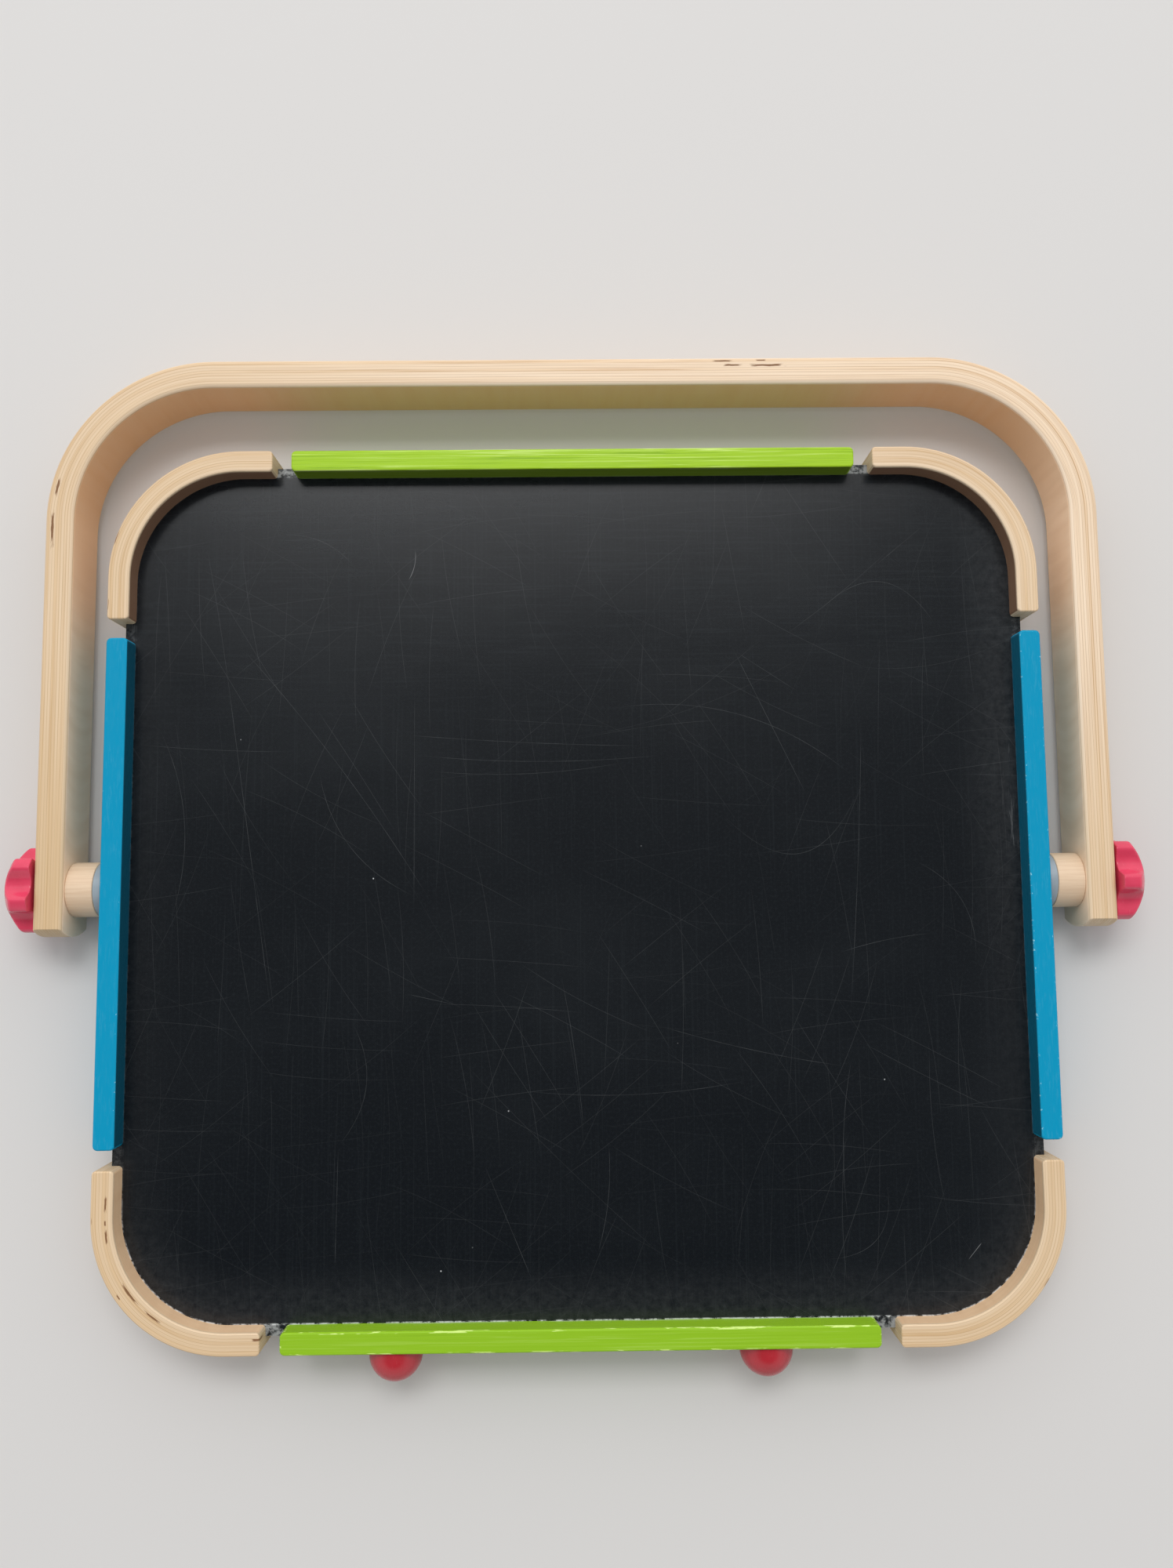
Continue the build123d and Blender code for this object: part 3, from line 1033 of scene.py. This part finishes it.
def ring(node, edge_round, material):
    """A ring about the pivot axis, in the place of its node."""
    low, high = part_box(node)
    bm = bmesh.new()
    corners = [
        bm.verts.new((along, pivot.y + radius, pivot.z))
        for along, radius in (
            (low.x, ring_hole_radius),
            (high.x, ring_hole_radius),
            (high.x, ring_radius),
            (low.x, ring_radius),
        )
    ]
    sides = [bm.edges.new((corners[index - 1], corners[index])) for index in range(4)]
    bmesh.ops.spin(
        bm, geom=corners + sides, cent=pivot, axis=(1, 0, 0), angle=2 * pi, steps=ring_steps, use_merge=True
    )
    close_shell(bm)
    outer = ring_radius - touching
    rims = [
        edge for edge in sharp_edges(bm) if min((vert.co - pivot).yz.length for vert in edge.verts) > outer
    ]
    round_off(bm, rims, edge_round)
    return dress(bm, node, material)


spacer_wood = turned_wood("spacer_turned_wood")
for side in ("left", "right"):
    ring("spacer_" + side, spacer_round, spacer_wood)
    ring("friction_washer_" + side, washer_round, washer_grey)

# %% [markdown]
# The chalkboard is matt black paint on hardboard, and it is never quite clean. Hair-fine scratches cross it
# in every direction. For these the board is cut into long cells, turned a different way for each layer. A
# white noise gives every cell its own random numbers, and these place, tilt and bow one thin line in it, or
# leave it empty. The longest marks are placed one by one, each with its two ends and the height of its bow,
# in millimetres from the pivot.

# %% Scratches and long marks
hairs = {"cell": (70 * mm, 15 * mm), "tilt": 0.8, "bow": 1.4, "empty": 0.5}
hair_turns = (3, -8, 34, 64, 84, 89, 95, 118, 148)
hair_step = (17 * mm, 29 * mm)
scribbles = {"cell": (130 * mm, 90 * mm), "tilt": 0.5, "bow": 3.0, "empty": 0.35}
scribble_turns = (12, 52, 80, 128)
scribble_step = (41 * mm, 23 * mm)
scratch_half_width = 0.17 * mm
broken_scale = 90.0
long_marks = (
    ((104, 115), (158, 108), 18.6),
    ((131, 137), (153, 155), 0.0),
    ((-127, 153), (-95, 138), 4.5),
    ((-151, 102), (-128, -57), 0.0),
    ((-179, 70), (-172, -15), 9.0),
    ((-147, 107), (-61, -8), 3.5),
    ((-110, 52), (-67, -5), -10.0),
    ((-69, 85), (-69, -13), 0.0),
    ((-77, 65), (31, 59), -1.0),
    ((-69, 56), (37, 55), -2.8),
    ((-63, 49), (21, 52), -3.0),
    ((13, 75), (122, 42), 14.0),
    ((122, 42), (60, 32), 25.0),
    ((67, 104), (99, 36), 0.0),
    ((69, 100), (96, 82), 0.0),
    ((123, 73), (114, -60), 1.0),
    ((141, 10), (168, -36), 10.0),
    ((110, -30), (150, -22), 1.3),
    ((-72, -45), (-50, -50), 0.0),
    ((-95, -56), (-100, -107), 9.0),
    ((-100, -107), (-101, -157), 0.0),
    ((-27, -85), (72, -82), -4.0),
    ((33, -59), (113, -77), -1.7),
    ((-7, -38), (2, -104), 1.0),
    ((-40, -114), (-19, -164), 0.0),
    ((12, -106), (7, -152), 2.3),
    ((115, -71), (111, -140), -3.0),
    ((127, -122), (99, -155), 13.0),
)
chalk_marks = (
    ((-69, 146), (-72, 132), 1.3),
    ((160, -156), (166, -149), 0.0),
)


def scratches(place, turn, move, cell, tilt, bow, empty):
    """A mask for one layer of scratches, at most one in each cell."""
    length, width = cell
    laid = measured(place, move, radians(turn), (length, width, 1.0))
    dice = beside("TexWhiteNoise", laid)
    dice.noise_dimensions = "2D"
    feed(dice.inputs["Vector"], vector_maths("FLOOR", laid))
    first, second, third = split(dice.outputs["Color"])
    along, across = split(vector_maths("FRACTION", laid))[:2]
    from_middle = maths("SUBTRACT", along, 0.5)
    slope = product(maths("SUBTRACT", first, 0.5), tilt, from_middle)
    curve = product(maths("SUBTRACT", second, 0.5), bow, from_middle, from_middle)
    middle = maths("ADD", fade(third, 0.0, 1.0, 0.3, 0.7), maths("ADD", slope, curve))
    from_line = product(away_from(across, middle), width)
    ends = fade(maths("ABSOLUTE", from_middle), 0.48, 0.25)
    sides = fade(away_from(across, 0.5), 0.5, 0.4)
    chosen = fade(dice.outputs["Value"], empty, 1.0)
    return product(fade(from_line, scratch_half_width, 0.0), ends, sides, chosen)


def mark(place, start, end, bow):
    """A mask for one long mark between two places, bowed to its left by a height."""
    reach = (Vector(end) - Vector(start)) * mm
    origin = (start[0] * mm, start[1] * mm, 0.0)
    laid = measured(place, origin, atan2(reach.y, reach.x), (reach.length, 1.0, 1.0))
    along, across = split(laid)[:2]
    curve = product(along, maths("SUBTRACT", 1.0, along), 4 * bow * mm)
    ends = fade(away_from(along, 0.5), 0.5, 0.3)
    return product(fade(away_from(across, curve), scratch_half_width, 0.0), ends)


def all_marks(place, marks):
    """A mask for several long marks, each a little broken along its length."""
    seen = 0.0
    for start, end, bow in marks:
        seen = maths("MAXIMUM", seen, mark(place, start, end, bow))
    broken = fade(noise(place, scale=broken_scale, detail=2.0), 0.35, 0.65, 0.45, 1.0)
    return product(seen, broken)


print("scratches in", len(hair_turns) + len(scribble_turns), "layers and", len(long_marks), "long marks")

# %% [markdown]
# White dust lies along the frame, most of all at the bottom and in the gaps between the frame's pieces. A
# thin film lies beside it, with smears by the right bar and a few loose specks. The distance to the frame
# comes from the usual rule for a rounded rectangle, made of vector sums.

# %% Chalk dust
speck_scale = 70.0
clump_scale = 300.0
low_start = -110 * mm
low_full = -165 * mm
gap_start = 130 * mm
gap_full = 170 * mm
film_width = 26 * mm
film_share = 0.042
haze_start = 160 * mm
haze_full = 192 * mm
haze_share = 0.036
smear_place = (186.0 * mm, 30.0 * mm, 0.0)
smear_half_width = 5 * mm
smear_half_height = 42 * mm
smear_scale = (600.0, 50.0, 0.0)


def frame_distance(place):
    """How far a point on the board is from the inner face of the frame."""
    reach = Vector((frame_half_width - frame_corner_radius, frame_half_height - frame_corner_radius, 0.0))
    past = vector_maths("SUBTRACT", vector_maths("ABSOLUTE", place), tuple(reach))
    rounded = vector_maths("LENGTH", vector_maths("MAXIMUM", past))
    past_x, past_y = split(past)[:2]
    straight = maths("MINIMUM", maths("MAXIMUM", past_x, past_y), 0.0)
    from_outer = maths("SUBTRACT", frame_corner_radius, maths("ADD", rounded, straight))
    return maths("SUBTRACT", from_outer, frame_thickness)


def chalk_specks(place):
    """A mask for a few loose specks of chalk."""
    cells = beside("TexVoronoi", place)
    cells.inputs["Scale"].default_value = speck_scale
    feed(cells.inputs["Vector"], place)
    chosen = fade(split(cells.outputs["Color"])[0], 0.86, 1.0)
    return product(fade(cells.outputs["Distance"], 0.030, 0.010), chosen)


def chalk_dust(place):
    """A mask for the dust along the frame and the smears beside the right bar."""
    place_x, place_y = split(place)[:2]
    clumps = noise(place, scale=clump_scale, detail=4.0, roughness=0.7)
    settled = fade(clumps, 0.40, 0.60)
    distance = frame_distance(place)
    beside_frame = fade(away_from(distance, 0.0), 0.7 * mm, 0.1 * mm)
    line = product(beside_frame, settled, fade(place_y, low_start, low_full, 0.04, 1.0))
    gap_share = fade(maths("ABSOLUTE", place_y), gap_start, gap_full, 0.08, 0.5)
    in_gap = product(fade(distance, -0.2 * mm, -0.8 * mm), settled, gap_share)
    near_frame = fade(distance, film_width, 0.0, 0.0, film_share)
    film = product(near_frame, fade(place_y, low_start, low_full, 0.3, 1.0))
    upper_right = fade(place_y, -70 * mm, 30 * mm, 0.2, 1.0)
    right_haze = product(fade(place_x, haze_start, haze_full), upper_right)
    film = maths("MULTIPLY_ADD", right_haze, haze_share, film)
    film = product(film, fade(clumps, 0.1, 0.9))
    streaks = noise(stretch(place, smear_scale), detail=5.0, roughness=0.7)
    smear_size = (1 / smear_half_width, 1 / smear_half_height, 0.0)
    smear_offset = vector_maths("SUBTRACT", place, smear_place)
    from_smear = vector_maths("LENGTH", vector_maths("MULTIPLY", smear_offset, smear_size))
    smear = product(fade(from_smear, 1.0, 0.2, 0.0, 0.28), fade(streaks, 0.48, 0.8))
    loose = maths("MAXIMUM", in_gap, smear)
    return maths("MAXIMUM", maths("MAXIMUM", line, film), loose)


print("dust film within", round(film_width / mm), "mm of the frame")

# %% [markdown]
# Brush strokes run up the board, and wiped chalk is smeared across it, most of all near the top. Both are
# noises between the black of the paint and the grey of wiped chalk, squeezed hard across their own direction.
# A soft haze says where the board is worn: there it is duller and its scratches show more. The scratches, the
# marks and the dust go over all of it.

# %% Chalkboard finish
slate = opaque(0.0030, 0.0047, 0.0070)
wiped = opaque(0.0108, 0.0144, 0.0176)
scratch_grey = opaque(0.075, 0.080, 0.083)
haze_scale = (6.0, 10.0, 0.0)
haze_turn = 0.3
mottle_scale = 800.0
stroke_scale = (1100.0, 10.0, 0.0)
wipe_scale = (24.0, 700.0, 0.0)
wiped_start = 40 * mm
wiped_full = 130 * mm
hair_share = 0.34
scribble_share = 0.24
mark_share = 0.52
chalk_mark_share = 0.3
speck_share = 0.75
dust_share = 0.85
board_specular = 0.27


def chalkboard_finish(name):
    """Matt black board with brush strokes, wiped chalk, scratches and dust along the frame."""
    material, tree, shader = start_material(name)
    flat = vector_maths("MULTIPLY", object_place(tree), (1.0, 1.0, 0.0))
    place = vector_maths("SUBTRACT", flat, (0.0, pivot.y, 0.0))
    haze = noise(stretch(place, haze_scale, haze_turn), detail=6.0, roughness=0.6)
    mottle = noise(place, scale=mottle_scale, detail=3.0)
    strokes = noise(stretch(place, stroke_scale), detail=3.0, roughness=0.6)
    wipes = noise(stretch(place, wipe_scale), detail=5.0, roughness=0.75)
    up_board = fade(split(place)[1], wiped_start, wiped_full, 0.1, 0.7)
    colour = mix(fade(haze, 0.42, 0.8, 0.0, 0.35), slate, wiped)
    colour = mix(fade(mottle, 0.45, 0.75, 0.0, 0.4), colour, wiped)
    colour = mix(fade(strokes, 0.52, 0.72, 0.0, 0.4), colour, wiped)
    colour = mix(product(fade(wipes, 0.48, 0.7), up_board), colour, wiped)
    worn = fade(haze, 0.32, 0.62, 0.25, 1.0)
    for lines, turns, step, share in (
        (hairs, hair_turns, hair_step, hair_share),
        (scribbles, scribble_turns, scribble_step, scribble_share),
    ):
        for index, turn in enumerate(turns):
            move = (step[0] * index, step[1] * index, 0.0)
            layer = scratches(place, turn, move, **lines)
            colour = mix(product(layer, worn, share), colour, scratch_grey)
    colour = mix(product(all_marks(place, long_marks), mark_share), colour, scratch_grey)
    for mask, share in (
        (all_marks(place, chalk_marks), chalk_mark_share),
        (chalk_specks(place), speck_share),
        (chalk_dust(place), dust_share),
    ):
        colour = mix(product(mask, share), colour, chalk_white)
    feed(shader.inputs["Base Color"], colour)
    feed(shader.inputs["Roughness"], fade(haze, 0.3, 0.75, 0.26, 0.33))
    shader.inputs["Specular IOR Level"].default_value = board_specular
    feed(shader.inputs["Normal"], bump(mottle, 0.08, 0.05 * mm))
    return material


nodes["chalkboard_panel"].material_slots[0].material = chalkboard_finish("chalkboard_paint")
print("chalkboard painted")

# %% [markdown]
# The back of the board is a white enamelled sheet for dry markers, with the faint grey ghosts that wiped ink
# leaves. The small metal parts are plated steel and brass, with turning marks that vary their gloss.

# %% Enamel, steel and brass
ghost_scale = (14.0, 30.0, 0.0)
ghost_turn = 0.4
turning_scale = (4000.0, 300.0, 300.0)
enamel_white = opaque(0.80, 0.81, 0.80)
ghost_grey = opaque(0.66, 0.68, 0.72)
steel_light = opaque(0.62, 0.62, 0.60)
steel_dark = opaque(0.50, 0.50, 0.50)
brass_light = opaque(0.70, 0.50, 0.20)
brass_dark = opaque(0.58, 0.40, 0.15)


def enamel(name):
    """White enamel with faint ghosts of wiped ink."""
    material, tree, shader = start_material(name)
    place = object_place(tree)
    ghosts = noise(stretch(place, ghost_scale, ghost_turn), detail=5.0, roughness=0.6)
    colour = mix(fade(ghosts, 0.5, 0.8, 0.0, 0.5), enamel_white, ghost_grey)
    feed(shader.inputs["Base Color"], colour)
    feed(shader.inputs["Roughness"], fade(ghosts, 0.35, 0.7, 0.16, 0.30))
    return material


def metal(name, base, shade, smooth, dull):
    """Bare metal with turning marks round the pivot axis."""
    material, tree, shader = start_material(name)
    place = object_place(tree)
    marks = noise(stretch(place, turning_scale), detail=2.0)
    feed(shader.inputs["Base Color"], mix(marks, base, shade))
    feed(shader.inputs["Roughness"], fade(marks, 0.3, 0.7, smooth, dull))
    shader.inputs["Metallic"].default_value = 1.0
    return material


steel = metal("plated_steel_turned", steel_light, steel_dark, smooth=0.24, dull=0.38)
brass = metal("insert_brass_turned", brass_light, brass_dark, smooth=0.26, dull=0.40)
nodes["whiteboard_sheet"].material_slots[0].material = enamel("white_enamel_wiped")
for side in ("left", "right"):
    nodes["stud_" + side].material_slots[0].material = steel
    nodes["knob_washer_" + side].material_slots[0].material = steel
    nodes["threaded_insert_" + side].material_slots[0].material = brass
print("metals:", steel.name, brass.name)

# %% [markdown]
# The easel lies on a plain pale floor, which keeps its shadow. Further off the floor fades into the pale
# backdrop, so that no dark horizon shows. This holds only where the floor is looked at or mirrored, and it
# adds no light to the easel.

# %% Floor
floor_colour = opaque(0.625, 0.613, 0.603)
floor_half_size = 6.0
floor_fade_start = 0.5
floor_fade_end = 2.0
backdrop_light = 0.85


def looked_at(tree):
    """One for the rays that are seen, straight from the camera, in a mirror or through glass."""
    ray = tree.nodes.new("ShaderNodeLightPath").outputs
    mirrored = maths("MAXIMUM", ray["Is Glossy Ray"], ray["Is Transmission Ray"])
    return maths("MAXIMUM", ray["Is Camera Ray"], mirrored)


floor_mesh = bpy.data.meshes.new("floor")
bm = bmesh.new()
bmesh.ops.create_grid(bm, x_segments=1, y_segments=1, size=floor_half_size)
bm.to_mesh(floor_mesh)
bm.free()
floor = bpy.data.objects.new("floor", floor_mesh)
floor_material, tree, shader = start_material("pale_floor")
shader.inputs["Base Color"].default_value = floor_colour
shader.inputs["Roughness"].default_value = 0.9
shader.inputs["Specular IOR Level"].default_value = 0.1
glow = tree.nodes.new("ShaderNodeEmission")
glow.inputs["Strength"].default_value = backdrop_light
far_off = fade(vector_maths("LENGTH", object_place(tree)), floor_fade_start, floor_fade_end)
blend = tree.nodes.new("ShaderNodeMixShader")
feed(blend.inputs[0], product(far_off, looked_at(tree)))
feed(blend.inputs[1], shader.outputs[0])
feed(blend.inputs[2], glow.outputs[0])
feed(tree.nodes["Material Output"].inputs["Surface"], blend.outputs[0])
floor_mesh.materials.append(floor_material)
bpy.context.scene.collection.objects.link(floor)
print("floor of", 2 * floor_half_size, "m, fading from", floor_fade_start, "to", floor_fade_end, "m")

# %% [markdown]
# The light is soft daylight. One wide lamp stands for a window beyond the top of the board, and the surround
# is brightest on that side and dim behind the viewer. So the board stays black except towards its top, where
# it mirrors the lower edge of the window, and walls that face the viewer get their light back from the floor,
# with the colour of the paint and wood near them. The low part of the surround is only looked at and
# mirrored, never a light, so it can be pale on all sides. An even fill light does the reverse: it reaches
# into the narrow gaps, but the board doesn't mirror it.

# %% Lamp and surround
lamp_direction = Vector((-0.05, 0.525, 0.85)).normalized()
lamp_distance = 3.0
lamp_width = 2.0
lamp_height = 0.85
lamp_power = 35.0
window_side_light = 1.05
window_edge = (0.15, 0.7)
overhead_light = 0.26
viewer_side_light = 0.06
viewer_edge = (-0.5, 0.0)
flank_light = 0.15
flank_edge = (0.38, 0.7)
fill_light = 0.38
backdrop_edge = (0.8, 0.5)

lamp = bpy.data.objects.new("lamp", bpy.data.lights.new("lamp", "AREA"))
lamp.data.shape = "RECTANGLE"
lamp.data.size = lamp_width
lamp.data.size_y = lamp_height
lamp.data.energy = lamp_power
lamp.location = pivot + lamp_direction * lamp_distance
lamp.rotation_euler = lamp_direction.to_track_quat("Z", "Y").to_euler()
bpy.context.scene.collection.objects.link(lamp)

world = bpy.data.worlds.new("surround")
world.use_nodes = True
tree = world.node_tree
direction = tree.nodes.new("ShaderNodeTexCoord").outputs["Generated"]
sideways, towards_window, upwards = split(direction)
near_side = fade(towards_window, *viewer_edge, viewer_side_light, overhead_light)
far_side = fade(towards_window, *window_edge, 0.0, window_side_light - overhead_light)
flanks = fade(maths("ABSOLUTE", sideways), *flank_edge, 0.0, flank_light)
daylight = maths("ADD", maths("ADD", near_side, far_side), flanks)
seen = looked_at(tree)
low_down = product(seen, fade(upwards, *backdrop_edge))
fill = product(maths("SUBTRACT", 1.0, seen), fill_light)
to_backdrop = maths("SUBTRACT", backdrop_light, daylight)
surround = maths("ADD", maths("MULTIPLY_ADD", low_down, to_backdrop, daylight), fill)
feed(tree.nodes["Background"].inputs["Strength"], surround)
tree.nodes["Background"].inputs["Color"].default_value = opaque(1.0, 1.0, 1.0)
bpy.context.scene.world = world
bpy.context.scene.view_settings.view_transform = "Standard"
print("lamp", lamp_power, "W at", [round(value, 2) for value in lamp.location])
